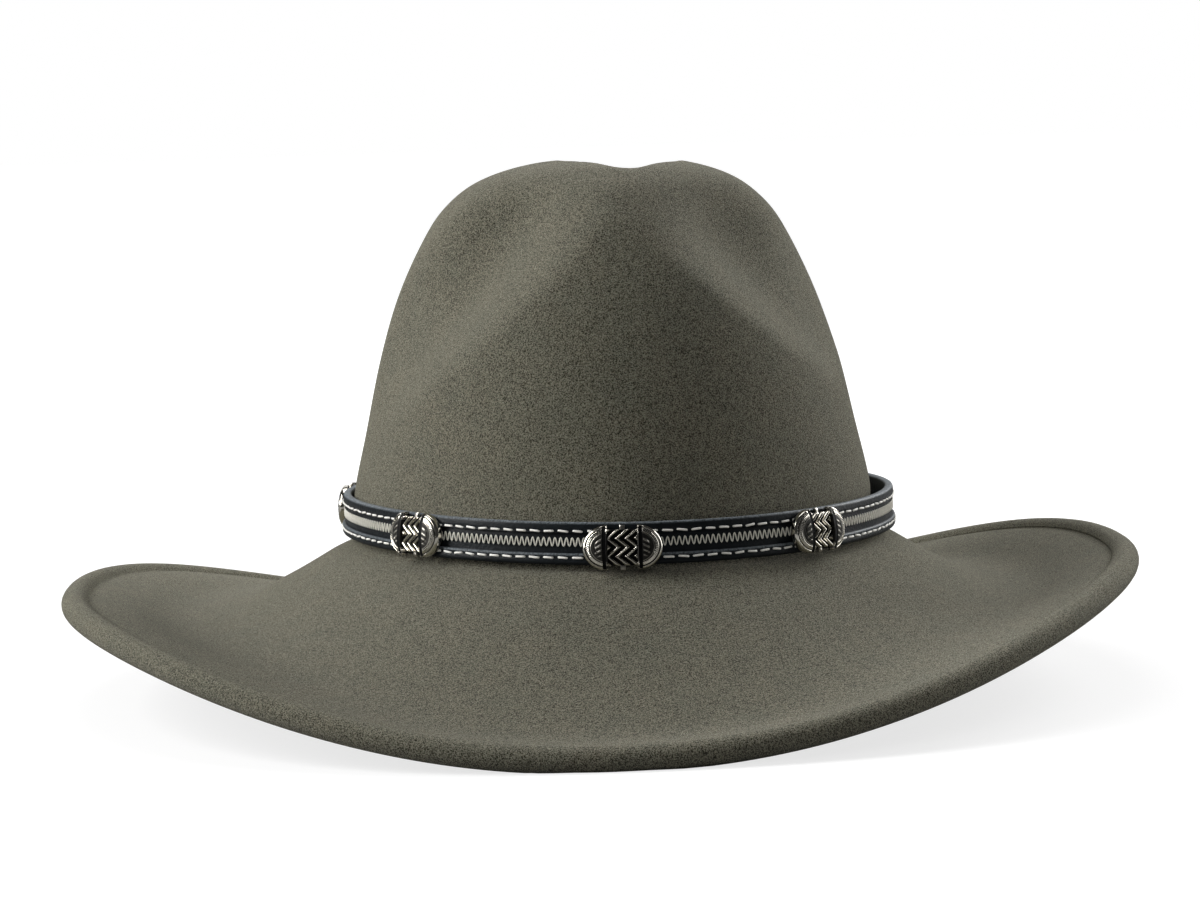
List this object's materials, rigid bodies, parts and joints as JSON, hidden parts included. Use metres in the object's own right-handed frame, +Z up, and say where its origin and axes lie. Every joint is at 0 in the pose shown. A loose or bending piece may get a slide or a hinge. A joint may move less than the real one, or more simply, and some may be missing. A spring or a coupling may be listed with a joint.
{
  "type": "felt hat",
  "caption": "Brown-grey felt hat with a pinched crown, a dished brim with a rolled rim, and a black stitched leather hatband carrying cast metal ornaments",
  "frame": {"origin": "middle of the footprint of the brim, on the surface that the hat rests on", "axes": "+Z up through the crown, +Y towards the back of the hat, -Y towards the pinched front, +X towards the viewer's right when the front faces the viewer"},
  "size_m": [0.3382, 0.3594, 0.1658],
  "materials": {
    "felt": "matt pressed felt with a fine short nap, brown-grey",
    "leather": "smooth black leather with a soft sheen, white edge stitches and a cream zigzag thread",
    "cast_metal": "cast white metal, polished on the high parts and dark in the engraving"
  },
  "bodies": {
    "root": {"felt_body": "felt", "hatband_strap": "leather", "band_keeper": "leather", "concho_side_left": "cast_metal", "concho_front_left": "cast_metal", "concho_front": "cast_metal", "concho_front_right": "cast_metal", "concho_side_right": "cast_metal"}
  },
  "joints": []
}
